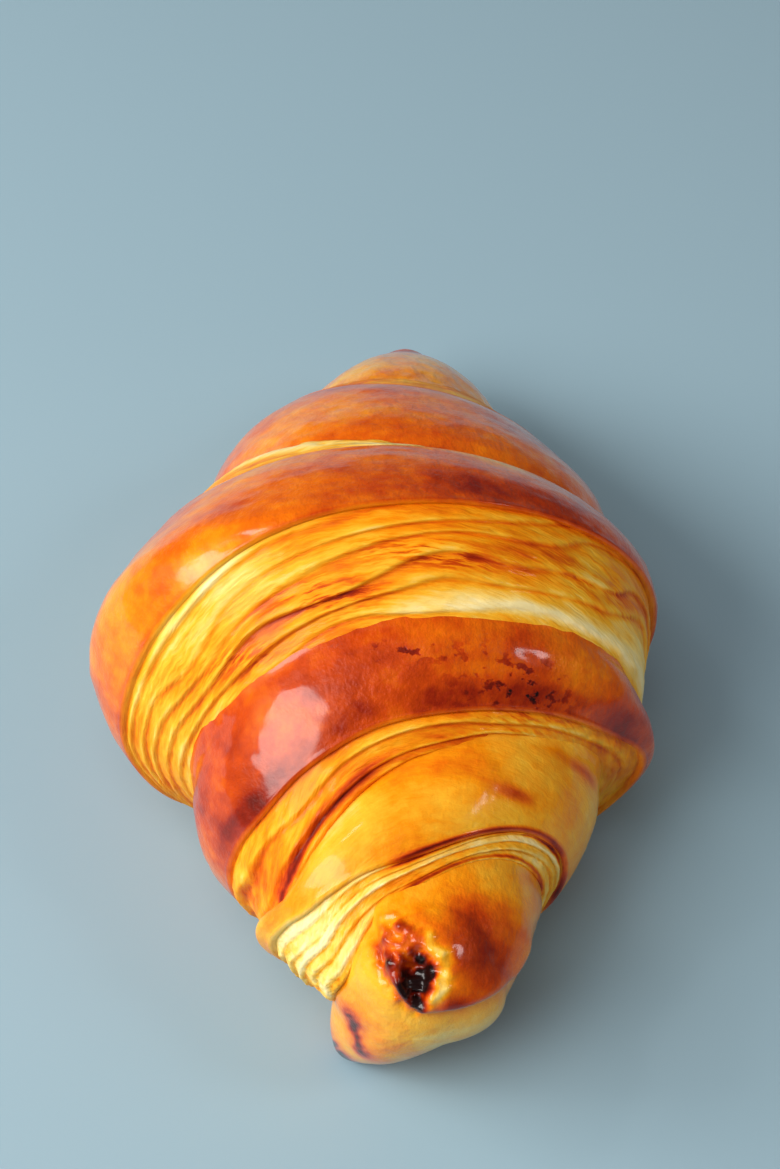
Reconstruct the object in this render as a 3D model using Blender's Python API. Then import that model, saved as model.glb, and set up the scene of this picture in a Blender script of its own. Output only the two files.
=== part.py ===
"""A butter croissant: four wraps of rolled dough, nested one inside the next and baked into one piece.

Metres, +Z up, resting on z = 0. The long axis is Y: the blunt nose is the -Y end and the pointed tip the +Y end.
The lengths below are centimetres, and CM scales them when the solid is made.
"""

from collections import namedtuple

import bmesh
import bpy
import numpy as np

for thing in list(bpy.data.objects):
    bpy.data.objects.remove(thing, do_unlink=True)

CM = 0.01

# ---------------------------------------------------------------- driving dimensions (cm, degrees)
NOSE_Y = -6.8  # blunt near end of the innermost wrap
TIP_Y = 7.3  # pointed far end
STATIONS = [-7, -6, -5, -4, -3, -2, -1, 0, 1, 2, 3, 4, 5, 6, 7]
HALF_WIDTH = [0.8, 1.35, 2.0, 2.5, 3.1, 3.8, 4.3, 4.1, 3.8, 3.5, 3.0, 2.5, 1.9, 1.2, 0.4]
NOSE_BEND, TIP_BEND = 0.35, 0.3  # how far the two ends of the roll bend towards +X
ROUNDNESS = 0.76  # half height over half width
SETTLED = 0.75  # height of the spine over the half height, because dough settles on its base
NOSE_LIFT, TIP_LIFT = 1.4, 1.0  # rise of the underside over the last 5 cm of each end
BASE_CUT = 0.06  # the flat underside is cut this far above the lowest point
SWELL = 0.11  # how much a crust band bulges between its edges
LIP = 0.13  # rounding of a wrap's cut edge

SIDES = 60  # facets round the roll
BAND_ROWS = (11, 24, 26, 12)  # rows along each wrap, outermost first

# A wrap's edge is not square to the roll, so each is given along Y at five places round it:
# low on the +X side, the +X shoulder, the top, the -X shoulder, low on the -X side.
ANGLES = [-20, 40, 90, 140, 190]
OUTER_NEAR = [0.0, -0.1, -0.6, -1.5, -2.2]
OUTER_NEAR_FOOT = [-1.8, -1.8, -2.1, -2.7, -3.0]
OUTER_FAR = [0.8, 1.0, 1.2, 1.0, 0.8]
OUTER_FAR_FOOT = [1.2, 1.2, 1.7, 2.4, 2.5]
SECOND_NEAR = [-2.3, -2.7, -3.2, -4.0, -4.2]
SECOND_NEAR_FOOT = [-2.7, -3.0, -3.7, -4.9, -5.3]
SECOND_FAR = [3.4, 3.5, 4.0, 4.4, 4.3]
SECOND_FAR_FOOT = [4.8, 4.8, 4.8, 5.0, 4.9]
THIRD_NEAR = [-4.2, -4.2, -4.95, -5.35, -5.2]
THIRD_NEAR_FOOT = [-4.7, -4.6, -5.35, -6.1, -6.1]

# Near and far edge of a wrap, the line where the cut under each edge meets the wrap inside, and how far that
# line is below the outline. The third wrap closes at the tip, and the innermost at the nose.
Wrap = namedtuple("Wrap", "near near_foot near_drop far far_foot far_drop")
WRAPS = [
    Wrap(OUTER_NEAR, OUTER_NEAR_FOOT, 0.30, OUTER_FAR, OUTER_FAR_FOOT, 0.30),
    Wrap(SECOND_NEAR, SECOND_NEAR_FOOT, 0.30, SECOND_FAR, SECOND_FAR_FOOT, 0.22),
    Wrap(THIRD_NEAR, THIRD_NEAR_FOOT, 0.25, None, None, None),
    Wrap(None, None, None, None, None, None),
]

SCORCH_CENTRE, SCORCH_SIZE = (0.44, -6.50, 2.85), (0.48, 0.50, 0.42)  # caramelised hollow in the nose
Bead = namedtuple("Bead", "x y z radius")
TAIL = [  # the small point of dough under the nose
    Bead(0.45, -5.20, 1.90, 1.00),
    Bead(0.50, -5.85, 1.95, 0.95),
    Bead(0.05, -6.02, 1.35, 0.78),
    Bead(-0.32, -6.05, 0.80, 0.50),
    Bead(-0.56, -6.02, 0.26, 0.20),
]
CRUST_COLOUR, CRUST_ROUGHNESS = (0.50, 0.17, 0.02, 1.0), 0.35


# ---------------------------------------------------------------- the outline shared by all wraps
def through(x, xs, ys):
    """A smooth curve through the points (xs, ys), read at x."""
    xs, ys = np.asarray(xs, float), np.asarray(ys, float)
    x = np.clip(x, xs[0], xs[-1])
    step, rise = np.diff(xs), np.diff(ys) / np.diff(xs)
    slope = np.empty(len(xs))
    slope[0], slope[-1] = rise[0], rise[-1]
    slope[1:-1] = (rise[:-1] * step[1:] + rise[1:] * step[:-1]) / (step[1:] + step[:-1])
    i = np.clip(np.searchsorted(xs, x, side="right") - 1, 0, len(step) - 1)
    t, h = (x - xs[i]) / step[i], step[i]
    return (
        (1 + 2 * t) * (1 - t) ** 2 * ys[i]
        + t * (1 - t) ** 2 * h * slope[i]
        + t * t * (3 - 2 * t) * ys[i + 1]
        + t * t * (t - 1) * h * slope[i + 1]
    )


def edge(places, turn):
    """Where along Y a wrap's edge is at each angle round the roll. Under the base it closes on itself."""
    degrees = (np.degrees(turn) + 90) % 360 - 90
    under = (places[0] + places[-1]) / 2
    xs = [ANGLES[-1] - 360, -90, *ANGLES, 270, ANGLES[0] + 360]
    return through(degrees, xs, [places[-1], under, *places, under, places[0]])


def outline(y):
    return through(y, STATIONS, HALF_WIDTH)


def lift(y):
    near, far = np.clip((-y - 2) / 5, 0, 1.2), np.clip((y - 2) / 5, 0, 1.2)
    return NOSE_LIFT * near**1.5 + TIP_LIFT * far**1.5


def place(y, radius, turn):
    """Points of a ring of dough, softened where it sits on its base."""
    full = outline(y) * ROUNDNESS
    z = SETTLED * full + radius * ROUNDNESS * np.sin(turn)
    soft = 0.12 + 0.03 * full
    bend = np.where(y < 0, NOSE_BEND, TIP_BEND) * (y / 7) ** 2
    return np.stack([bend + radius * np.cos(turn), y, soft * np.logaddexp(0, z / soft) + lift(y)], -1)


# ---------------------------------------------------------------- one wrap
def crust_radius(k, y, turn):
    """The outer face of wrap k. It dives under the wrap outside it, and bulges between its own edges."""
    wrap = WRAPS[k]
    if k == 0:
        along = (y - edge(wrap.near, turn)) / (edge(wrap.far, turn) - edge(wrap.near, turn))
        return outline(y) + SWELL * 4 * along * (1 - along)
    outside = WRAPS[k - 1]

    def depth(start, end, drop):
        q = (y - start) / (end - start)
        return drop * np.clip(q, 0, 3) ** 2 - SWELL * 4 * q * (1 - q) * ((q > 0) & (q < 1))

    near = edge(wrap.near, turn) if wrap.near else NOSE_Y
    down = depth(near, np.maximum(edge(outside.near_foot, turn), near + 0.35), outside.near_drop)
    if outside.far:
        far = edge(wrap.far, turn) if wrap.far else TIP_Y
        down = np.minimum(down, depth(far, edge(outside.far_foot, turn), outside.far_drop))
    return outline(y) - np.minimum(down, 1.2)


def wrap_rings(k):
    """Rings of points along wrap k, from its near end to its far end."""
    wrap = WRAPS[k]
    turn = np.linspace(0, 2 * np.pi, SIDES, endpoint=False)
    rings = []

    def ring(y, radius):
        rings.append(place(y + 0 * turn, radius + 0 * turn, turn))

    def cut_face(lip_y, foot_y, drop, side):
        """Between the hidden foot and the lip; side is -1 for a near edge and +1 for a far one."""
        lip, foot = crust_radius(k, lip_y, turn), outline(foot_y) - drop - 0.02
        steps = [
            (foot_y - side * 0.3, foot * 0.55),
            (foot_y - side * 0.05, foot - 0.1),
            (foot_y, foot),
            (foot_y + (lip_y - foot_y) * 0.4, foot + (lip - LIP - foot) * 0.45),
            (foot_y + (lip_y - foot_y) * 0.75, foot + (lip - LIP - foot) * 0.8),
            (lip_y + side * 0.04, lip - LIP),
        ]
        for y, radius in steps if side < 0 else steps[::-1]:
            ring(y, radius)

    def round_end(y, length, side):
        for t in (0.1, 0.4, 0.65, 0.85, 0.96)[::-side]:
            ring(y + side * length * np.sqrt(1 - t * t), crust_radius(k, y, turn) * t)

    if wrap.near:
        start = edge(wrap.near, turn)
        cut_face(start, edge(wrap.near_foot, turn), wrap.near_drop, -1)
    else:
        start = NOSE_Y + 0.6
        round_end(start + 0 * turn, 0.6, -1)
    if wrap.far:
        end = edge(wrap.far, turn)
    else:
        end = TIP_Y - 0.25 if k == 2 else 3.0
    for t in np.linspace(0, 1, BAND_ROWS[k]):
        y = start + (end - start) * t
        ring(y, crust_radius(k, y, turn))
    if wrap.far:
        cut_face(end, edge(wrap.far_foot, turn), wrap.far_drop, 1)
    else:
        round_end(end + 0 * turn, 0.25, 1)
    return rings


def tail_rings():
    """Rings round a short curve that goes down and out from under the nose."""
    turn = np.linspace(0, 2 * np.pi, 16, endpoint=False)
    across, up = np.array([0.87, -0.20, -0.44]), np.array([0.0, 0.90, -0.44])
    spread = np.outer(np.cos(turn), across) + np.outer(np.sin(turn), up)
    return [np.array(bead[:3]) + bead.radius * spread for bead in TAIL]


# ---------------------------------------------------------------- solids
def solid(name, rings):
    """A closed body: each ring bridged to the next, and both ends capped."""
    shape = bmesh.new()
    loops = []
    for ring in rings:
        verts = [shape.verts.new(point * CM) for point in ring]
        loops.append([shape.edges.new((a, b)) for a, b in zip(verts, verts[1:] + verts[:1])])
    for one, next_one in zip(loops, loops[1:]):
        bmesh.ops.bridge_loops(shape, edges=one + next_one)
    for loop in (loops[0], loops[-1]):
        cap = bmesh.ops.edgeloop_fill(shape, edges=loop)["faces"]
        bmesh.ops.poke(shape, faces=cap)
    bmesh.ops.recalc_face_normals(shape, faces=shape.faces)
    mesh = bpy.data.meshes.new(name)
    shape.to_mesh(mesh)
    shape.free()
    body = bpy.data.objects.new(name, mesh)
    bpy.context.scene.collection.objects.link(body)
    return body


def combine(body, tool, operation):
    """A Boolean step, with the slivers it leaves merged so that the next step meets a clean body."""
    step = body.modifiers.new("combine", "BOOLEAN")
    step.operation, step.solver, step.object = operation, "EXACT", tool
    bpy.context.view_layer.objects.active = body
    bpy.ops.object.modifier_apply(modifier=step.name)
    bpy.data.objects.remove(tool, do_unlink=True)
    shape = bmesh.new()
    shape.from_mesh(body.data)
    bmesh.ops.remove_doubles(shape, verts=shape.verts, dist=2e-5)
    bmesh.ops.dissolve_degenerate(shape, edges=shape.edges, dist=1e-5)
    shape.to_mesh(body.data)
    shape.free()


croissant = solid("croissant", wrap_rings(0))
for k in (1, 2, 3):
    combine(croissant, solid("wrap", wrap_rings(k)), "UNION")
combine(croissant, solid("tail", tail_rings()), "UNION")

bpy.ops.mesh.primitive_ico_sphere_add(subdivisions=2, radius=CM, location=[v * CM for v in SCORCH_CENTRE])
scorch = bpy.context.object
scorch.scale = SCORCH_SIZE
combine(croissant, scorch, "DIFFERENCE")

bpy.ops.mesh.primitive_cube_add(size=1, location=(0, 0, BASE_CUT * CM - 0.5))
combine(croissant, bpy.context.object, "DIFFERENCE")

# ---------------------------------------------------------------- merge slivers, centre it, put the base on z = 0
shape = bmesh.new()
shape.from_mesh(croissant.data)
bmesh.ops.remove_doubles(shape, verts=shape.verts, dist=1e-5)
bmesh.ops.triangulate(shape, faces=shape.faces)
points = np.array([v.co for v in shape.verts])
low, high = points.min(0), points.max(0)
shift = (-(low[0] + high[0]) / 2, -(low[1] + high[1]) / 2, -low[2])
bmesh.ops.translate(shape, verts=shape.verts, vec=shift)
size, volume = np.round((high - low) * 1000, 1), round(shape.calc_volume() * 1e6)
print("croissant", size, "mm,", len(shape.faces), "triangles,", volume, "cm3, moved by", np.round(shift, 4))
shape.to_mesh(croissant.data)
shape.free()
croissant.data.shade_smooth()
croissant.data.set_sharp_from_angle(angle=np.radians(40))

crust = bpy.data.materials.new("crust")
crust.use_nodes = True
shader = crust.node_tree.nodes["Principled BSDF"]
shader.inputs["Base Color"].default_value = CRUST_COLOUR
shader.inputs["Roughness"].default_value = CRUST_ROUGHNESS
shader.inputs["Metallic"].default_value = 0.0
croissant.data.materials.clear()
croissant.data.materials.append(crust)
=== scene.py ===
# %% [markdown]
# # A butter croissant
# A croissant is a triangle of layered dough rolled up from its wide side. Each turn of the roll ends in an
# edge, so the baked roll shows smooth glazed bands with a step of cut leaves between them. This lesson
# builds those turns as separate sheets, one inside the next, then paints how far each place has browned.
# The first cell loads the fixed frame and keeps its box, because everything is placed from it.

# %% Load the frame
from math import cos, pi, radians, sin

import bpy
import numpy as np
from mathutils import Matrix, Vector


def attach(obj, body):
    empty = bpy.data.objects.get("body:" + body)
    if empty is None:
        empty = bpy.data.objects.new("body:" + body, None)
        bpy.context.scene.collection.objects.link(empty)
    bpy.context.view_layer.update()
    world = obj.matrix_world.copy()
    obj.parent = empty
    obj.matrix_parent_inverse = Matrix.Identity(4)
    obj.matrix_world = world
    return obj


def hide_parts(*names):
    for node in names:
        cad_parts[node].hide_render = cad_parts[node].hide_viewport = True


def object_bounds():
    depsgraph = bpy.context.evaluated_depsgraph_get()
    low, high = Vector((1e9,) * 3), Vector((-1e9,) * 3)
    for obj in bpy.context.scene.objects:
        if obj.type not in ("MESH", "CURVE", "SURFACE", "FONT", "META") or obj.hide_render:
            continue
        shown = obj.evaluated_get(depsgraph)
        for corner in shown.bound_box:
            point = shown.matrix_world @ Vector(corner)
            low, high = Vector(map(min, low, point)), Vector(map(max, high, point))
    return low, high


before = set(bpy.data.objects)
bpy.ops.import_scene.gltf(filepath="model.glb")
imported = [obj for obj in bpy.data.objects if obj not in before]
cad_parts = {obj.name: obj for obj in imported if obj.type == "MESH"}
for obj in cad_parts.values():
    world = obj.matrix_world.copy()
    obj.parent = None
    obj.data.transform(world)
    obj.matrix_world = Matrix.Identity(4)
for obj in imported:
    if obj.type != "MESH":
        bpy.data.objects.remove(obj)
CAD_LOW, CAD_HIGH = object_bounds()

CM = 0.01
print("frame box, mm", [round(v * 1000, 1) for v in (CAD_HIGH - CAD_LOW)])

# %% [markdown]
# ## The outline of the roll
# All the turns share one outline: a spindle that is widest a little in front of the middle, pointed at the
# far end and blunt at the near one. It is given by its half width at each centimetre, and a smooth curve
# runs through them. Lengths are centimetres until the mesh is made.

# %% The outline
STATIONS = list(range(-7, 8))
HALF_WIDTH = [0.8, 1.35, 2.0, 2.5, 3.1, 3.8, 4.3, 4.1, 3.8, 3.5, 3.0, 2.5, 1.9, 1.2, 0.4]
NOSE_Y, TIP_Y = -6.8, 7.3
NOSE_BEND, TIP_BEND = 0.35, 0.3
ROUNDNESS, SETTLED = 0.76, 0.75
NOSE_LIFT, TIP_LIFT = 1.4, 1.0
SWELL, LIP = 0.11, 0.13
END_BEND_AT = 7


def through(x, xs, ys):
    """A smooth curve through the points (xs, ys), read at x."""
    xs, ys = np.asarray(xs, float), np.asarray(ys, float)
    x = np.clip(x, xs[0], xs[-1])
    step, rise = np.diff(xs), np.diff(ys) / np.diff(xs)
    slope = np.empty(len(xs))
    slope[0], slope[-1] = rise[0], rise[-1]
    slope[1:-1] = (rise[:-1] * step[1:] + rise[1:] * step[:-1]) / (step[1:] + step[:-1])
    i = np.clip(np.searchsorted(xs, x, side="right") - 1, 0, len(step) - 1)
    t, h = (x - xs[i]) / step[i], step[i]
    return (
        (1 + 2 * t) * (1 - t) ** 2 * ys[i]
        + t * (1 - t) ** 2 * h * slope[i]
        + t * t * (3 - 2 * t) * ys[i + 1]
        + t * t * (t - 1) * h * slope[i + 1]
    )


def outline(y):
    return through(y, STATIONS, HALF_WIDTH)


def lift(y):
    near, far = np.clip((-y - 2) / 5, 0, 1.2), np.clip((y - 2) / 5, 0, 1.2)
    return NOSE_LIFT * near**1.5 + TIP_LIFT * far**1.5


def bend(y):
    """How far the middle of the roll has moved to the right, which is most at its ends."""
    return np.where(y < 0, NOSE_BEND, TIP_BEND) * (y / END_BEND_AT) ** 2


def softness(half_height):
    """How gently the side of the roll turns under to its flat base."""
    return 0.12 + 0.03 * half_height


def place(y, radius, turn):
    """Points round the roll, softened where the dough has settled on its base."""
    full = outline(y) * ROUNDNESS
    z = SETTLED * full + radius * ROUNDNESS * np.sin(turn)
    soft = softness(full)
    return np.stack([bend(y) + radius * np.cos(turn), y, soft * np.logaddexp(0, z / soft) + lift(y)], -1)


# %% [markdown]
# ## Where each turn ends
# A turn's edge is not square to the roll: it slants, because the dough was a triangle. Each edge is given
# at five places round the roll: low on the right, the right shoulder, the top, the left shoulder and low on
# the left.

# %% The edges
ANGLES = [-20, 40, 90, 140, 190]
EDGES = {
    "outer_near": [0.0, -0.1, -0.6, -1.5, -2.1],
    "outer_near_foot": [-1.8, -1.8, -2.1, -2.7, -3.0],
    "outer_far": [0.8, 1.0, 1.2, 1.0, 0.8],
    "outer_far_foot": [1.2, 1.2, 1.7, 2.4, 2.5],
    "second_near": [-2.3, -2.7, -3.2, -4.0, -4.2],
    "second_near_foot": [-2.7, -3.0, -3.7, -4.9, -5.3],
    "second_far": [3.4, 3.5, 4.0, 4.4, 4.3],
    "second_far_foot": [4.8, 4.8, 4.8, 5.0, 4.9],
    "third_near": [-4.2, -4.2, -4.95, -5.35, -5.2],
    "third_near_foot": [-4.7, -4.6, -5.35, -6.1, -6.1],
}


def by_angle(places, turn):
    """Five values at ANGLES, read smoothly at each angle round the roll."""
    degrees = (np.degrees(turn) + 90) % 360 - 90
    under = (places[0] + places[-1]) / 2
    xs = [ANGLES[-1] - 360, -90, *ANGLES, 270, ANGLES[0] + 360]
    return through(degrees, xs, [places[-1], under, *places, under, places[0]])


def edge(name, turn):
    """Where along the roll an edge is at each angle round it."""
    return by_angle(EDGES[name], turn)


print("edges on top, cm:", {name: places[2] for name, places in EDGES.items()})

# %% [markdown]
# ## Uneven dough
# Nothing on a baked roll is even. This helper makes smooth random lumps over the sheet: it is a grid of
# random heights, joined up smoothly, that closes on itself round the roll. The seed keeps it the same at
# each run.

# %% Lumps
GRID_LENGTH = 97


def lumps(around, along, cells, seed, octaves=1):
    """Smooth random heights, -1 to 1. around is 0 to 1 and closes on itself; along is in lumps."""
    total, size = 0.0, 1.0
    for octave in range(octaves):
        grid = np.random.default_rng(seed + octave * 101).uniform(-1, 1, (cells, GRID_LENGTH))
        x, y = (around % 1) * cells, along * 2**octave + 40.5
        i, j = np.floor(x).astype(int), np.floor(y).astype(int)
        fx, fy = x - i, y - j
        fx, fy = fx * fx * (3 - 2 * fx), fy * fy * (3 - 2 * fy)
        i_next, j_next = (i + 1) % cells, (j + 1) % GRID_LENGTH
        i, j = i % cells, j % GRID_LENGTH
        a, b, c, d = grid[i, j], grid[i_next, j], grid[i, j_next], grid[i_next, j_next]
        total = total + size * ((a * (1 - fx) + b * fx) * (1 - fy) + (c * (1 - fx) + d * fx) * fy)
        cells, size = cells * 2, size * 0.5
    return total / (2 - 0.5 ** (octaves - 1))


def smooth(low, high, x):
    t = np.clip((x - low) / (high - low), 0, 1)
    return t * t * (3 - 2 * t)


# %% [markdown]
# ## Leaves of pastry
# A cut edge of the dough is a stack of thin leaves that puffed apart in the oven. Over a cut face the
# leaves make small terraces: each one rises sharply at its own edge, then falls away under the next. The
# terraces wander and merge, so their spacing is pushed about by the lumps. The helper gives the height of
# the terraces, a painted highlight on each leaf's crisp rim less painted shade in the gaps between leaves,
# and which leaf it is on.


# %% Terraces
def terraces(t, around, count, seed, wander):
    """Height, a painted highlight on each rim less painted shade in each gap, and a value for each leaf,
    where t is 0 at a cut's foot and 1 at its lip.
    """
    phase = t * count + wander * lumps(around, t * 1.3, 5, seed)
    phase = phase + 0.5 * wander * lumps(around, t * 4, 17, seed + 7)
    leaf = np.floor(phase)
    f = phase - leaf
    stand = np.clip(0.5 + 0.75 * lumps(around, leaf * 0.77, 10, seed + 31, 2), 0.05, 1.15)
    height = stand * smooth(0.0, 0.2, f) * (1 - 0.9 * smooth(0.2, 1.0, f))
    # Painted highlight: a leaf's raised rim is made paler. Painted shade: the gap between two leaves is made
    # darker.
    rim_light_gap_shade = np.clip(stand, 0, 1) * np.exp(-(((f - 0.24) / 0.17) ** 2))
    gap_shade = np.exp(-((np.minimum(f, 1 - f) / 0.1) ** 2))
    shade = np.sin(leaf * 12.9898 + seed) * 43758.5453
    return height, rim_light_gap_shade - 0.8 * gap_shade, shade - np.floor(shade)


# %% [markdown]
# ## One turn of the roll as a sheet
# A turn starts hidden under itself, climbs its near cut face over the terraces, rounds the lip, runs along
# the glazed crust, and goes down its far cut. The helper collects these rows. For each point it keeps three
# things that the finish needs later: how much it is a cut face, a painted highlight on a leaf's rim with
# painted shade in the gaps between leaves, and a value for its leaf. Both hidden ends of a sheet are drawn
# in to one point, so that every turn is a closed body.

# %% Rows of a turn
TURNS = [
    dict(
        name="outer", outside=None, near=True, far=True, near_drop=0.30, far_drop=0.30,
        leaves=[4, 4, 6, 7, 7], relief=0.062, wander=1.3, undercut=[0, 0, 0, 0.15, 0.55],
    ),
    dict(
        name="second", outside="outer", near=True, far=True, near_drop=0.30, far_drop=0.22,
        leaves=[3, 3, 3, 3, 3], relief=0.085, wander=0.55, undercut=[0.45, 0.3, 0, 0, 0],
    ),
    dict(
        name="third", outside="second", near=True, far=False, near_drop=0.25, far_drop=0,
        leaves=[3, 3, 4, 5, 5], relief=0.072, wander=0.6, undercut=[0, 0, 0, 0, 0],
    ),
    dict(name="inner", outside="third", near=False, far=False, near_drop=0, far_drop=0),
]
DROPS = {turn["name"]: (turn["near_drop"], turn["far_drop"]) for turn in TURNS}
# A flap is given by its angle, its place along the roll, its reach along it, and how far it stands out.
FLAPS = {"second": (0, -2.3, 0.22, 0.17), "outer": (180, -1.9, 0.5, 0.15)}
FLAP_DEGREES = 20
DEEPEST = 1.2
# Blisters in the crust: height, lumps in a centimetre along, lumps round, and what is added to the seed.
BLISTERS = [(0.040, 0.9, 14, 0), (0.014, 3.1, 46, 5), (0.009, 7.0, 76, 9)]
CRUMBLY = 0.013
# Behind its foot a sheet narrows and ends in a pole: how far behind the foot each of these rows is.
POLE_BEHIND, NARROW_BEHIND, TUCK_BEHIND = 0.45, 0.35, 0.1
FAR_LEAVES, FAR_RELIEF, TIP_ROUND = 2, 0.05, 0.3


def flare(name, y, turn):
    """The short flaps: low on the outer turn's left side, and low on the second turn's right side."""
    if name not in FLAPS:
        return 0.0
    angle, at, reach, much = FLAPS[name]
    away = (np.degrees(turn) + 90 - angle) % 360 - 90
    return much * np.exp(-((away / FLAP_DEGREES) ** 2) - ((y - at) / reach) ** 2)


def crust_radius(turn_of, y, turn):
    """The outer face of a turn. It dives under the turn outside it, and bulges between its own edges."""
    name, outside = turn_of["name"], turn_of["outside"]
    if outside is None:
        along = (y - edge("outer_near", turn)) / (edge("outer_far", turn) - edge("outer_near", turn))
        return outline(y) + SWELL * 4 * along * (1 - along) + flare(name, y, turn)

    def depth(start, end, drop):
        q = (y - start) / (end - start)
        return drop * np.clip(q, 0, 3) ** 2 - SWELL * 4 * q * (1 - q) * ((q > 0) & (q < 1))

    near = edge(name + "_near", turn) if turn_of["near"] else NOSE_Y
    down = depth(near, np.maximum(edge(outside + "_near_foot", turn), near + 0.35), DROPS[outside][0])
    if DROPS[outside][1]:
        far = edge(name + "_far", turn) if turn_of["far"] else TIP_Y
        down = np.minimum(down, depth(far, edge(outside + "_far_foot", turn), DROPS[outside][1]))
    return outline(y) - np.minimum(down, DEEPEST) + flare(name, y, turn)


class Rows:
    """Rows of points round one turn, with what the finish needs to know of each point."""

    def __init__(self, columns):
        self.turn = np.linspace(-pi / 2, 3 * pi / 2, columns + 1)
        self.around = (self.turn + pi / 2) / (2 * pi)
        self.kept = []

    def add(self, y, radius, leaf=0.0, rim_light_gap_shade=0.0, shade=0.5):
        full = np.zeros_like(self.turn)
        self.kept.append([full + v for v in (y, radius, leaf, rim_light_gap_shade, shade)])

    def arrays(self):
        return np.swapaxes(np.array(self.kept), 0, 1)


def cut(rows, turn_of, side, count, relief, steps, seed):
    """The hidden foot, the terraces and the rounded lip; side is -1 for a near edge and +1 for a far one."""
    name, turn, around = turn_of["name"], rows.turn, rows.around
    key = name + ("_near" if side < 0 else "_far")
    lip_y, foot_y = edge(key, turn), edge(key + "_foot", turn)
    lip_y = lip_y + 0.05 * lumps(around, 0, 11, seed + 3, 2)
    lip = crust_radius(turn_of, lip_y, turn)
    foot = outline(foot_y) - DROPS[name][0 if side < 0 else 1] - 0.03
    if side < 0:
        foot = foot - by_angle(turn_of["undercut"], turn)
    pole_y = foot_y.mean() - side * POLE_BEHIND
    made = [(pole_y, foot * 0.0, 1, 0, 0.5), (foot_y - side * NARROW_BEHIND, foot * 0.6, 1, 0, 0.5)]
    made += [(foot_y - side * TUCK_BEHIND, foot - 0.12, 1, 0, 0.5)]
    run = np.abs(lip_y - foot_y)
    for t in np.linspace(0, 1, steps):
        height, rim_light_gap_shade, shade = terraces(t, around, count, seed, turn_of["wander"])
        fade = smooth(0, 0.06, t) * (1 - 0.6 * smooth(0.93, 1, t))
        crumbly = CRUMBLY * fade * lumps(around, t * steps * 0.28, 96, seed + 17, 2)
        raised = relief * height * fade * np.clip(run / (0.18 * count), 0.35, 1.2) + crumbly
        radius = foot + (lip - LIP * 0.9 - foot) * t**0.9 + raised
        y = foot_y + (lip_y - foot_y) * t * 0.985 + side * raised * 0.7
        made.append((y, radius, 1, rim_light_gap_shade, shade))
    # The rounded lip carries 0.3 of the painted rim highlight, so it is painted paler.
    for t in (0.2, 0.45, 0.7, 0.9):
        over, up = cos(t * pi / 2), sin(t * pi / 2)
        made.append((lip_y + side * 0.05 * over, lip - LIP * 0.9 * (1 - up), 1 - t, 0.3, 0.5))
    for row in made if side < 0 else made[::-1]:
        rows.add(*row)
    return lip_y


def crust_rows(rows, turn_of, start, end, spacing, seed):
    """The glazed band from start to end, with shallow lumps in it."""
    around, turn = rows.around, rows.turn
    for t in spacing:
        y = start + (end - start) * t
        blister = 0.0
        for high, along, cells, more in BLISTERS:
            blister = blister + high * lumps(around, y * along, cells, seed + more, 2)
        rows.add(y, crust_radius(turn_of, y, turn) + blister * smooth(0, 0.06, t) * smooth(0, 0.06, 1 - t))


print("turns:", ", ".join(turn["name"] for turn in TURNS))

# %% [markdown]
# ## From rows to a sheet of mesh
# A grid is added with as many columns and rows as the turn needs, and its points are moved to the turn's
# place. The grid brings its own UV map, which is set to centimetres round and along the roll, so that
# streaks can follow the leaves. In edit mode the seam and the two ends are merged, and the faces are turned
# outwards.

# %% Sheet maker
ROUND_LENGTH = 24


def clear_selection():
    bpy.ops.object.select_all(action="DESELECT")


def sheet(name, points, values):
    """points is rows x columns x 3 in centimetres, its last column the same as its first."""
    rows, columns = points.shape[:2]
    clear_selection()
    bpy.ops.mesh.primitive_grid_add(x_subdivisions=columns - 1, y_subdivisions=rows - 1, size=1)
    piece = bpy.context.object
    piece.name = piece.data.name = name
    mesh = piece.data
    mesh.vertices.foreach_set("co", (points * CM).reshape(-1).astype(np.float32))
    steps = np.linalg.norm(np.diff(points, axis=0), axis=-1)
    along = np.concatenate([np.zeros((1, columns)), np.cumsum(steps, 0)])
    round_it = np.linspace(0, ROUND_LENGTH, columns)[None, :] + np.zeros((rows, 1))
    loops = np.empty(len(mesh.loops), np.int32)
    mesh.loops.foreach_get("vertex_index", loops)
    uv = np.stack([round_it.reshape(-1)[loops], along.reshape(-1)[loops]], -1)
    mesh.uv_layers[0].data.foreach_set("uv", uv.reshape(-1).astype(np.float32))
    for key, value in values.items():
        attribute = mesh.attributes.new(key, "FLOAT", "POINT")
        attribute.data.foreach_set("value", value.reshape(-1).astype(np.float32))
    bpy.ops.object.mode_set(mode="EDIT")
    bpy.ops.mesh.select_all(action="SELECT")
    bpy.ops.mesh.remove_doubles(threshold=1e-6)
    bpy.ops.mesh.normals_make_consistent(inside=False)
    bpy.ops.object.mode_set(mode="OBJECT")
    bpy.ops.object.shade_smooth()
    print(name, len(mesh.polygons), "faces")
    return piece


# %% [markdown]
# ## Browning
# The oven browns what stands highest and what carries most glaze. Every turn starts from an even bake, and
# spots are laid over it by their place: the angle round the roll in degrees, the distance along it, how far
# they reach each way, and how much darker or paler they are.


# %% Bake painter
def spots(bake, degrees, y, marks):
    for angle, at, wide, long, much in marks:
        away = ((degrees - angle) / wide) ** 2 + ((y - at) / long) ** 2
        bake = bake + much * np.exp(-away)
    return bake


def lines(bake, turn, y, drawn):
    """Thin lines along an edge: which edge, how far from it, how wide, between which angles, how much."""
    degrees = np.degrees(turn) + 0 * y
    for name, along, wide, start, end, much in drawn:
        away = (y - edge(name, turn) - along) / wide
        faded = smooth(start - 14, start + 6, degrees), smooth(end + 14, end - 6, degrees)
        bake = bake + much * np.exp(-(away**2)) * faded[0] * faded[1]
    return bake


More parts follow.
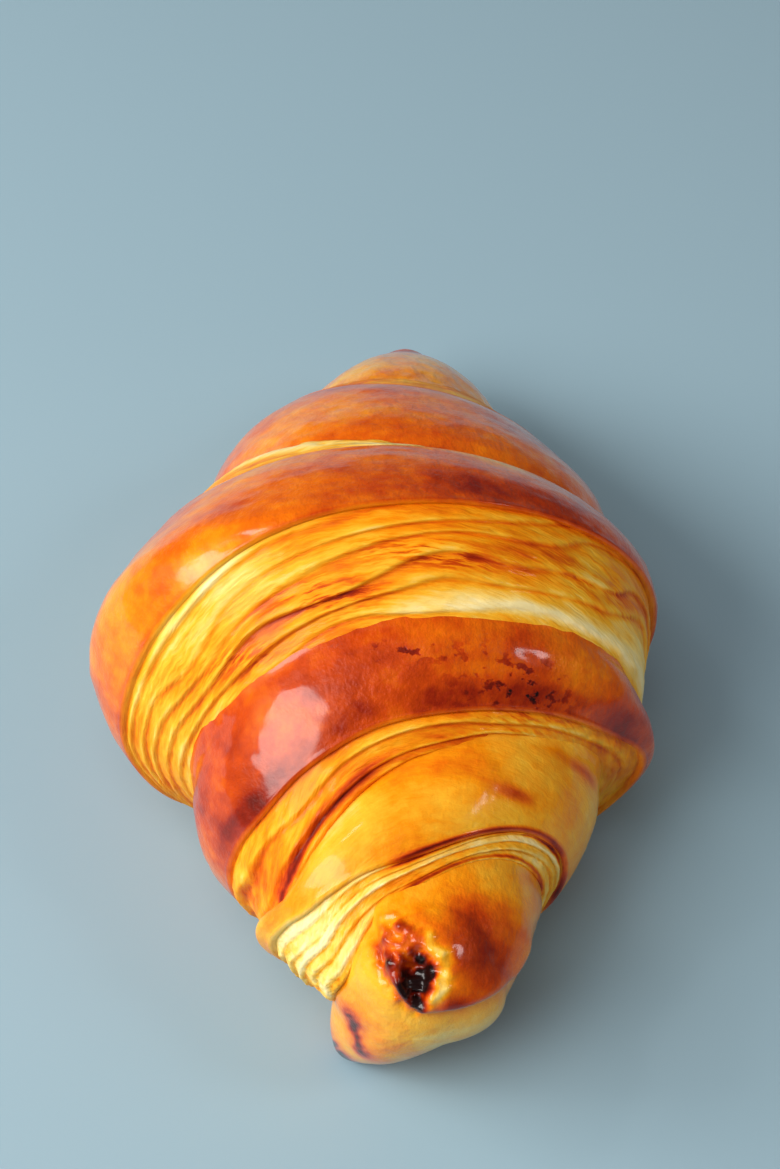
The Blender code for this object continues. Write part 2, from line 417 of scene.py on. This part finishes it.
CRUST_BAKE = {"outer": 0.57, "second": 0.60, "third": 0.36}
CUT_BAKE = {"outer": 0.34, "second": 0.42, "third": 0.25}
MARKS = {
    "outer": [
        (62, 0.0, 26, 0.5, 0.24), (150, -0.4, 25, 1.2, -0.06), (121, -1.5, 22, 0.28, -0.16),
        (104, -1.75, 9, 0.14, 0.06), (30, -0.6, 25, 0.5, 0.06),
    ],
    "second": [
        (90, -2.9, 50, 0.45, 0.10), (20, -2.5, 16, 0.3, 0.14), (150, -4.0, 30, 0.6, 0.05),
        (90, 3.0, 90, 0.9, -0.08),
    ],
    "third": [
        (90, 6.9, 90, 0.4, 0.35), (50, -3.9, 8, 0.10, 0.3), (23, -3.06, 12, 0.10, 0.3),
        (112, -4.3, 20, 0.5, -0.16), (80, -3.7, 30, 0.25, 0.10),
    ],
}
LINES = {
    "outer": [
        ("outer_near_foot", 0.18, 0.15, -40, 85, -0.20), ("outer_far_foot", -0.25, 0.22, 60, 200, -0.22),
        # Painted shade: this line darkens the groove under the outer turn's near lip.
        ("outer_near", -0.02, 0.05, -60, 240, 0.08),
    ],
    "second": [
        ("second_near_foot", 0.14, 0.07, 95, 165, 0.34), ("second_near", 0.12, 0.12, 30, 170, 0.10),
        # Painted shade: this line darkens the groove under the second turn's near lip.
        ("second_near", -0.02, 0.05, -60, 240, 0.06),
    ],
    "third": [("third_near", -0.03, 0.035, -20, 88, 0.55), ("third_near_foot", 0.05, 0.035, -20, 100, 0.5)],
}
CRAZED = {
    "second": [(58, -2.65, 15, 0.34, 1.0), (86, -2.45, 10, 0.12, 0.9)],
    "outer": [
        (104, -1.75, 11, 0.17, 1.0), (81, -1.25, 13, 0.15, 1.0), (40, -0.9, 16, 0.3, 0.5),
        (128, -2.2, 10, 0.12, 0.7),
    ],
}


def finish_values(name, y, turn, around, leaf, rim_light_gap_shade, shade):
    degrees = np.degrees(turn)[None, :] + 0 * y
    around = around[None, :] + 0 * y
    base = CRUST_BAKE[name] + 0.10 * lumps(around, y * 0.8, 12, 5, 3)
    pale = CUT_BAKE[name] + 0.20 * (shade - 0.5) + 0.20 * lumps(around, y * 1.4, 14, 9, 3)
    # Painted highlight and shade: paler on leaf rims, darker in the gaps between leaves.
    pale = pale - 0.15 * rim_light_gap_shade
    bake = base * (1 - leaf) + pale * leaf
    under = smooth(0.1, -0.8, np.sin(turn))[None, :]
    bake = bake + under * (0.5 - bake) * 0.6
    bake = lines(spots(bake, degrees, y, MARKS[name]), turn[None, :], y, LINES[name])
    craze = spots(0 * y, degrees, y, CRAZED.get(name, []))
    if name == "third":  # its near part had little glaze, so it counts half as a cut face
        leaf = np.maximum(leaf, 0.5 * smooth(1.0, -3.0, y))
    return {"bake": bake, "leaf": leaf + 0 * y, "craze": craze}


# %% [markdown]
# ## The outer turn
# The outer turn is the widest band, and its near cut is the broadest face of leaves. The builder collects
# its rows, places them round the roll and works out their browning. The rows are closest where the leaves
# are.


# %% The outer turn
def build_turn(turn_of, columns, cut_steps, crust_spacing, seed):
    rows = Rows(columns)
    leaves = by_angle(turn_of["leaves"], rows.turn)
    start = cut(rows, turn_of, -1, leaves, turn_of["relief"], cut_steps[0], seed)
    end = edge(turn_of["name"] + "_far", rows.turn) if turn_of["far"] else TIP_Y - TIP_ROUND + 0 * rows.turn
    crust_rows(rows, turn_of, start, end, crust_spacing, seed + 20)
    if turn_of["far"]:
        cut(rows, turn_of, 1, FAR_LEAVES, FAR_RELIEF, cut_steps[1], seed + 40)
    else:
        for t in np.linspace(1, 0, 9)[1:]:
            rows.add(end + TIP_ROUND * (1 - t) ** 0.8, crust_radius(turn_of, end, rows.turn) * t)
    y, radius, leaf, rim_light_gap_shade, shade = rows.arrays()
    points = place(y, radius, rows.turn[None, :] + 0 * y)
    values = finish_values(turn_of["name"], y, rows.turn, rows.around, leaf, rim_light_gap_shade, shade)
    return points, values


def spaced(*parts):
    """Row places between 0 and 1: each part is (from, to, how many)."""
    places = [np.linspace(a, b, n, endpoint=False) for a, b, n in parts]
    return np.append(np.concatenate(places), 1.0)


SHEETS = {}
SHEETS["outer"] = build_turn(TURNS[0], 480, (90, 14), spaced((0, 0.1, 8), (0.1, 0.9, 36), (0.9, 1, 8)), 1)
print("outer turn, rows and columns", SHEETS["outer"][0].shape[:2])

# %% [markdown]
# ## The second and third turns
# They are made in the same way. Rows are close together only where the turn shows, and far apart where it
# is covered by the turn outside it.

# %% The second and third turns
SECOND_ROWS = spaced((0, 0.03, 7), (0.03, 0.22, 30), (0.22, 0.6, 10), (0.6, 0.97, 44), (0.97, 1, 6))
THIRD_ROWS = spaced((0, 0.02, 6), (0.02, 0.16, 34), (0.16, 0.78, 10), (0.78, 1, 44))
SHEETS["second"] = build_turn(TURNS[1], 480, (44, 12), SECOND_ROWS, 2)
SHEETS["third"] = build_turn(TURNS[2], 420, (50, 0), THIRD_ROWS, 3)
print("second and third turns,", [SHEETS[name][0].shape[:2] for name in ("second", "third")])

# %% [markdown]
# ## The nose
# The innermost turn ends in the blunt nose, and under it the dough runs out to a small point at the lower
# left. The nose is a round-ended sheet like the others. The point is a string of overlapping spheres that
# start inside it, because a string can curve and thin out as pulled dough does. A voxel remesh will melt
# them all into one skin, which is then shaped like clay.

# %% The innermost turn
NOSE_ROUND, NOSE_BACK = 0.7, -3.2


def nose_rows(columns):
    turn_of, rows = TURNS[3], Rows(columns)
    start = NOSE_Y + NOSE_ROUND
    for t in np.sin(np.linspace(0, 1, 24) * pi / 2)[:-1]:
        radius = crust_radius(turn_of, start + 0 * rows.turn, rows.turn) * t
        rows.add(start - NOSE_ROUND * np.sqrt(1 - t * t), radius)
    for t in np.linspace(0, 1, 50):
        y = start + (NOSE_BACK - start) * t
        rows.add(y, crust_radius(turn_of, y + 0 * rows.turn, rows.turn))
    rows.add(NOSE_BACK, 0)
    y, radius, *_ = rows.arrays()
    return place(y, radius, rows.turn[None, :] + 0 * y)


NOSE_POINTS = nose_rows(180)
print("nose rows", NOSE_POINTS.shape)

# %% [markdown]
# ## Into the frame
# The roll was worked out in its own centimetres. It is now centred in the frame's box, its underside is
# pressed flat on the table, and the three sheets are made.

# %% Put the roll in the frame's box
BASE_CUT = 0.06
every = np.concatenate([p.reshape(-1, 3) for p in [*(points for points, _ in SHEETS.values()), NOSE_POINTS]])
LOW, HIGH = every.min(0), every.max(0)
BASE = LOW[2] + BASE_CUT
BOX_FOOT = np.array([*((CAD_LOW + CAD_HIGH) / 2).xy, CAD_LOW.z]) / CM
MIDDLE = BOX_FOOT - np.array([*((LOW + HIGH) / 2)[:2], BASE])
print("roll size, cm", np.round(HIGH - LOW, 2), "moved by", np.round(MIDDLE, 2))


def settled(points):
    """Points moved to the frame, with the underside pressed flat on the table."""
    return np.concatenate([points[..., :2], np.maximum(points[..., 2:], BASE)], -1) + MIDDLE


PIECES = {name: sheet(name + "_turn", settled(points), values) for name, (points, values) in SHEETS.items()}

# %% [markdown]
# ## Shaping the nose
# The nose has a thick cap of crust laid over its end, with a burnt hole in it where sugar and butter boiled
# out. The sheet and the spheres are melted together first. Then the points of the skin are moved by small
# functions of where they are, as a sculptor would press and pull: out for the cap, in for the hole, and a
# little both ways for the boiled sugar round it.

# %% Melt the nose and its point together
NOSE_VOXEL = 0.00035
RELAX_TIMES = 36
# Each sphere on a path is given by its place and its radius.
POINT_PATH = [
    (0.45, -5.2, 1.90, 1.00), (0.50, -5.85, 1.95, 0.96), (0.05, -6.02, 1.35, 0.78),
    (-0.32, -6.05, 0.80, 0.50), (-0.56, -6.02, 0.28, 0.23),
]
UNDER_PATH = [
    (-0.56, -6.02, 0.28, 0.23), (-0.36, -5.75, 0.48, 0.40), (-0.10, -5.35, 0.80, 0.66),
    (0.15, -4.8, 1.15, 0.95),
]
blunt = sheet("inner_turn", settled(NOSE_POINTS), {})
for path in (POINT_PATH, UNDER_PATH):
    for at in np.linspace(0, len(path) - 1, 8 * len(path) - 7):
        x, y, z, radius = (through(at, range(len(path)), column) for column in np.array(path).T)
        centre = ((x, y, z) + MIDDLE) * CM
        clear_selection()
        bpy.ops.mesh.primitive_uv_sphere_add(segments=32, ring_count=16, radius=radius * CM, location=centre)
        blunt.select_set(True)
        bpy.context.view_layer.objects.active = blunt
        bpy.ops.object.join()
melt = blunt.modifiers.new("melt", "REMESH")
melt.mode, melt.voxel_size = "VOXEL", NOSE_VOXEL
bpy.ops.object.modifier_apply(modifier="melt")
relax = blunt.modifiers.new("relax", "SMOOTH")
relax.factor, relax.iterations = 0.5, RELAX_TIMES
bpy.ops.object.modifier_apply(modifier="relax")
print("nose faces", len(blunt.data.polygons))


# %% Read and move points
def read_points(mesh):
    flat_list = np.empty(len(mesh.vertices) * 3, np.float32)
    mesh.vertices.foreach_get("co", flat_list)
    return flat_list.reshape(-1, 3).astype(float) / CM - MIDDLE


def read_normals(mesh):
    flat_list = np.empty(len(mesh.vertices) * 3, np.float32)
    mesh.vertex_normals.foreach_get("vector", flat_list)
    return flat_list.reshape(-1, 3).astype(float)


def write_points(mesh, points):
    mesh.vertices.foreach_set("co", (settled(points) * CM).reshape(-1).astype(np.float32))
    mesh.update()


def around_of(points):
    """The angle round the roll of each point, in degrees."""
    y = points[:, 1]
    full = outline(y) * ROUNDNESS
    soft = softness(full)
    z = soft * np.log(np.maximum(np.expm1(np.clip(points[:, 2] - lift(y), 1e-4, None) / soft), 1e-9))
    return np.degrees(np.arctan2((z - SETTLED * full) / ROUNDNESS, points[:, 0] - bend(y)))


# %% Lay the crust cap and burn the hole
CAP_CENTRE, CAP_THICK = np.array([0.60, -5.95, 3.05]), 0.2
CAP_LEFT, CAP_RIGHT, CAP_DOWN = 0.66, 1.35, 1.02
HOLE_CENTRE, HOLE_REACH, HOLE_DEEP = np.array([0.44, -6.42, 2.80]), 0.25, 0.24
BOIL_CENTRE, BOIL_REACH, BOIL_HIGH = np.array([0.15, -6.15, 3.0]), 0.42, 0.11
nose_points, nose_normals = read_points(blunt.data), read_normals(blunt.data)
pressed = smooth(-5.8, -6.6, nose_points[:, 1]) * smooth(0.3, -0.9, nose_points[:, 0])
nose_points[:, 0] += 0.2 * pressed
aside = nose_points[:, 0] - CAP_CENTRE[0]
down = (nose_points - CAP_CENTRE) @ [0, -0.78, -0.62]
wave = lumps(np.arctan2(-down, aside) / (2 * pi), 0 * aside, 9, 61, 2)
across = np.where(aside < 0, aside / CAP_LEFT, aside / CAP_RIGHT) / (1 + 0.45 * np.clip(-down, 0, 2))
from_cap = np.hypot(across, np.clip(down, 0, None) / CAP_DOWN) + 0.05 * wave
open_top = smooth(-0.7, 0.05, down)
edge_soft = 0.07 + 0.25 * smooth(0.35, -0.4, down)
cap = smooth(1 + edge_soft, 1 - edge_soft, from_cap) * open_top
ragged = lumps(nose_points[:, 0] / 6, nose_points[:, 1] * 4 + nose_points[:, 2] * 3, 22, 81, 2)
from_hole = np.linalg.norm((nose_points - HOLE_CENTRE) * [1.25, 0.8, 0.8], axis=1)
from_hole = from_hole + 0.05 * wave + 0.13 * ragged
boil = lumps(nose_points[:, 0] / 6, nose_points[:, 1] * 9 + nose_points[:, 2] * 7, 52, 71, 2)
hole = np.exp(-((from_hole / HOLE_REACH) ** 4))
from_boil = np.linalg.norm((nose_points - BOIL_CENTRE) * [1.0, 0.8, 0.8], axis=1) + 0.08 * wave
near_hole = np.exp(-((from_hole / (HOLE_REACH * 1.7)) ** 4))
crater = np.maximum(near_hole, np.exp(-((from_boil / BOIL_REACH) ** 4)))
move = CAP_THICK * cap - HOLE_DEEP * hole + BOIL_HIGH * boil * crater
write_points(blunt.data, nose_points + nose_normals * move[:, None])

# %% How far the nose is baked
NOSE_BAKE = 0.40
nose_points = read_points(blunt.data)
nose_around = around_of(nose_points)
turned, nose_y = nose_around / 360, nose_points[:, 1]
nose_bake = NOSE_BAKE + 0.12 * lumps(turned, nose_y * 1.2, 12, 15, 3)
cap_lip = np.exp(-(((from_cap - 0.93) / 0.13) ** 2)) * smooth(-0.1, 0.5, down) * smooth(1.0, 0.2, aside)
nose_bake = nose_bake - 0.06 * (1 - cap) * smooth(-5.9, -6.3, nose_y) + 0.42 * cap_lip
NOSE_MARKS = [
    (60, -5.6, 13, 0.36, 0.30), (55, -6.05, 17, 0.3, 0.28), (50, -6.35, 17, 0.2, 0.20),
    (30, -5.8, 16, 0.8, 0.12),
]
nose_bake = spots(nose_bake, nose_around, nose_y, NOSE_MARKS)
right_of_hole = smooth(0.0, 0.15, nose_points[:, 0] - HOLE_CENTRE[0])
rim_crumb = np.exp(-(((from_hole - 0.36) / 0.09) ** 2)) * right_of_hole
nose_bake = nose_bake + (0.42 + 0.25 * boil) * hole + 0.30 * crater * (0.6 + 1.1 * boil)
nose_bake = nose_bake - 0.75 * rim_crumb * (0.5 + 0.5 * boil)
# Scorched spots on the point: place, reach and how much darker.
SCORCHES = [
    ((-0.72, -6.15, 0.34), 0.28, 1.0), ((-0.48, -6.40, 1.66), 0.17, 0.9), ((-0.44, -6.45, 1.40), 0.14, 0.8),
    ((-0.3, -6.48, 1.12), 0.18, 1.0), ((-0.25, -6.28, 0.2), 0.26, 0.7),
]
for at, reach, much in SCORCHES:
    near_it = np.exp(-((np.linalg.norm(nose_points - at, axis=1) / reach) ** 2))
    nose_bake = nose_bake + much * near_it * (0.7 + 0.6 * boil)
for key, value in {"bake": nose_bake, "leaf": 0 * nose_bake, "craze": 0 * nose_bake}.items():
    blunt.data.attributes.new(key, "FLOAT", "POINT").data.foreach_set("value", value.astype(np.float32))
bpy.ops.object.shade_smooth()
PIECES["inner"] = blunt
print("pieces:", ", ".join(piece.name for piece in PIECES.values()))

# %% [markdown]
# ## Finishes
# Shader maths reads best as plain sums, so a small class wraps a socket and makes the Math nodes.


# %% Shader helpers
class Val:
    """A shader value. Sums on it add Math nodes."""

    def __init__(self, finish, socket):
        self.finish, self.socket = finish, socket

    def _math(self, operation, *values):
        return self.finish.node("ShaderNodeMath", dict(operation=operation), *values)

    def __add__(self, other):
        return self._math("ADD", self, other)

    def __sub__(self, other):
        return self._math("SUBTRACT", self, other)

    def __rsub__(self, other):
        return self._math("SUBTRACT", other, self)

    def __mul__(self, other):
        return self._math("MULTIPLY", self, other)

    __radd__, __rmul__ = __add__, __mul__

    def clamp(self):
        return self.finish.node("ShaderNodeClamp", {}, self)

    def band(self, low, high):
        """0 at low and 1 at high, smoothly."""
        return self.finish.node("ShaderNodeMapRange", dict(interpolation_type="SMOOTHSTEP"), self, low, high)


class Finish:
    def __init__(self, name):
        self.material = bpy.data.materials.new(name)
        self.material.use_nodes = True
        self.tree = self.material.node_tree
        self.shader = self.tree.nodes["Principled BSDF"]

    def node(self, kind, settings, *values, out=0, **named):
        made = self.tree.nodes.new(kind)
        for key, value in settings.items():
            if key == "stops":
                self.fill_ramp(made.color_ramp, value)
            else:
                setattr(made, key, value)
        for key, value in [*enumerate(values), *named.items()]:
            socket = made.inputs[key.replace("_", " ") if isinstance(key, str) else key]
            if isinstance(value, Val):
                self.tree.links.new(value.socket, socket)
            elif value is not None:
                socket.default_value = value
        return Val(self, made.outputs[out])

    def fill_ramp(self, ramp, stops):
        while len(ramp.elements) < len(stops):
            ramp.elements.new(0.5)
        for element, (at, colour) in zip(ramp.elements, stops):
            element.position, element.color = at, colour

    def attribute(self, name):
        return self.node("ShaderNodeAttribute", dict(attribute_name=name), out="Fac")

    def noise(self, vector, scale, detail, rough):
        sockets = dict(Vector=vector, Scale=scale, Detail=detail, Roughness=rough)
        return self.node("ShaderNodeTexNoise", {}, **sockets)

    def stretched(self, vector, scale):
        return self.node("ShaderNodeMapping", {}, Vector=vector, Scale=scale)

    def set(self, **values):
        for key, value in values.items():
            socket = self.shader.inputs[key.replace("_", " ")]
            if isinstance(value, Val):
                self.tree.links.new(value.socket, socket)
            else:
                socket.default_value = value


def shade_of(red, green, blue):
    """A colour as seen, 0 to 255, for the shader."""

    def linear(v):
        return (v / 255 / 12.92) if v <= 10 else ((v / 255 + 0.055) / 1.055) ** 2.4

    return (linear(red), linear(green), linear(blue), 1.0)


# %% [markdown]
# ## Baked dough
# One finish serves the whole roll. The bake value runs through a ramp from cream to caramel to burnt. Fine
# noise breaks it up: freckles and a few dark flecks on the crust, and long streaks that follow the leaves
# on the cut faces. The glaze is a coat that is strong on the crust and faint on the cut faces, and its fine
# wrinkles are a bump.

# %% Baked dough finish
BAKE_STOPS = [
    (0.00, shade_of(255, 232, 165)),
    (0.14, shade_of(255, 214, 112)),
    (0.28, shade_of(253, 184, 44)),
    (0.42, shade_of(247, 148, 8)),
    (0.55, shade_of(230, 108, 2)),
    (0.68, shade_of(196, 66, 1)),
    (0.80, shade_of(146, 32, 1)),
    (0.91, shade_of(92, 14, 2)),
    (1.00, shade_of(28, 7, 5)),
]
dough = Finish("baked_dough")
place_on = dough.node("ShaderNodeTexCoord", {}, out="Object")
flat = dough.node("ShaderNodeTexCoord", {}, out="UV")
leaf, bake, craze = dough.attribute("leaf"), dough.attribute("bake"), dough.attribute("craze")
freckle = dough.noise(place_on, 420.0, 4.0, 0.6) - 0.5
cloud = dough.noise(place_on, 95.0, 3.0, 0.6) - 0.5
streak = dough.noise(dough.stretched(flat, (1.1, 7.0, 1.0)), 1.0, 4.0, 0.65) - 0.5
fine_streak = dough.noise(dough.stretched(flat, (3.2, 24.0, 1.0)), 1.0, 2.0, 0.6) - 0.5
crusty = 1 - leaf
dash = (streak + fine_streak * 0.5).band(-0.06, 0.12) * craze
fleck = dough.noise(dough.stretched(place_on, (420.0, 640.0, 520.0)), 1.0, 3.0, 0.55)
fleck = fleck.band(0.54, 0.62) * craze * crusty
on_leaf = (streak * 0.42 + fine_streak * 0.14 + dash * 0.30) * leaf
amount = bake + freckle * 0.24 * crusty + cloud * 0.42 + on_leaf + fleck * 0.22
colour = dough.node("ShaderNodeValToRGB", dict(stops=BAKE_STOPS), amount.clamp())
wrinkle = dough.noise(dough.stretched(place_on, (700.0, 420.0, 700.0)), 1.0, 3.0, 0.6)
wrinkle = wrinkle + dough.noise(place_on, 1900.0, 2.0, 0.6) * 0.4
relief = wrinkle * 0.8 * crusty + (streak + fine_streak * 0.7) * 0.9 * leaf + freckle * 0.4 - fleck * 0.3
bump = dough.node("ShaderNodeBump", {}, Strength=0.45, Distance=0.0006, Height=relief)
dough.set(
    Base_Color=colour,
    Roughness=(0.34 + 0.22 * leaf + freckle * 0.1),
    Coat_Weight=(0.75 - leaf * 0.6),
    Normal=bump,
    Coat_Roughness=0.12,
    Coat_IOR=1.5,
    Specular_IOR_Level=0.15,
)
for piece in PIECES.values():
    piece.data.materials.clear()
    piece.data.materials.append(dough.material)
print("finish nodes", len(dough.tree.nodes))

# %% [markdown]
# ## Joining the frame
# The whole croissant is one body, so all four pieces ride on it. Together they stand for its one plain
# solid.

# %% Ride, and stand for the solid
for piece in PIECES.values():
    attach(piece, "root")
    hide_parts("croissant")

# %% [markdown]
# ## Floor, light and camera
# A broad lamp in front on the left gives the long highlights on the glaze, and two small ones add glints.
# The window, the sky panel and the fill on the right only light the dough: they are hidden from
# reflections, because large lamps would leave a haze on the glaze.

# %% Floor
clear_selection()
bpy.ops.mesh.primitive_plane_add(size=6, location=(0, 0, CAD_LOW.z))
floor = bpy.context.object
floor.name = "floor"
floor_finish = Finish("pale_floor")
floor_finish.set(Base_Color=shade_of(150, 178, 191), Roughness=0.55)
floor.data.materials.append(floor_finish.material)


# %% Lights
LAMP_DISTANCE, PANEL_DISTANCE = 0.9, 1.1


def area_light(name, direction, distance, size, power, tint=(1, 1, 1)):
    light = bpy.data.lights.new(name, "AREA")
    light.shape, light.size, light.size_y = "ELLIPSE", size[0], size[1]
    light.energy, light.color = power, tint
    holder = bpy.data.objects.new(name, light)
    bpy.context.scene.collection.objects.link(holder)
    away = Vector(direction).normalized()
    holder.location = away * distance
    holder.rotation_mode = "QUATERNION"
    holder.rotation_quaternion = away.to_track_quat("Z", "Y")
    return holder


window = area_light("window", (-0.88, 0.10, 0.44), LAMP_DISTANCE, (0.5, 0.5), 5.0, (1.0, 0.98, 0.95))
area_light("front_window", (-0.64, -0.40, 0.64), LAMP_DISTANCE, (0.80, 0.46), 6.6, (1.0, 0.96, 0.92))
area_light("skylight", (-0.50, 0.25, 0.76), LAMP_DISTANCE, (0.16, 0.08), 0.35, (1.0, 0.95, 0.95))
area_light("right_glint", (0.65, -0.15, 0.66), LAMP_DISTANCE, (0.16, 0.13), 0.45, (1.0, 0.95, 0.95))
right_fill = area_light("right_fill", (0.75, -0.15, 0.56), LAMP_DISTANCE, (0.3, 0.3), 0.9, (1.0, 0.93, 0.86))
sky_panel = area_light("sky_panel", (-0.2, -0.3, 1.0), PANEL_DISTANCE, (0.8, 0.8), 2.9)
window.visible_glossy = sky_panel.visible_glossy = right_fill.visible_glossy = False
world = bpy.data.worlds.new("sky")
bpy.context.scene.world = world
world.use_nodes = True
world.node_tree.nodes["Background"].inputs["Color"].default_value = (0.80, 0.90, 1.0, 1)
world.node_tree.nodes["Background"].inputs["Strength"].default_value = 0.07
bpy.context.scene.view_settings.view_transform = "Standard"

# %% Camera
ELEVATION, DISTANCE, LENS = radians(48.1), 35.55, 70.8
target = Vector((0.05, 0.96, 2.2)) + Vector(MIDDLE)
back = Vector((0, -cos(ELEVATION), sin(ELEVATION)))
camera = bpy.data.objects.new("camera", bpy.data.cameras.new("camera"))
bpy.context.scene.collection.objects.link(camera)
camera.data.lens, camera.data.sensor_width = LENS, 36
camera.location = (target + back * DISTANCE) * CM
camera.rotation_mode = "QUATERNION"
camera.rotation_quaternion = back.to_track_quat("Z", "Y")
camera.data.clip_start, camera.data.clip_end = 0.01, 20
bpy.context.scene.camera = camera
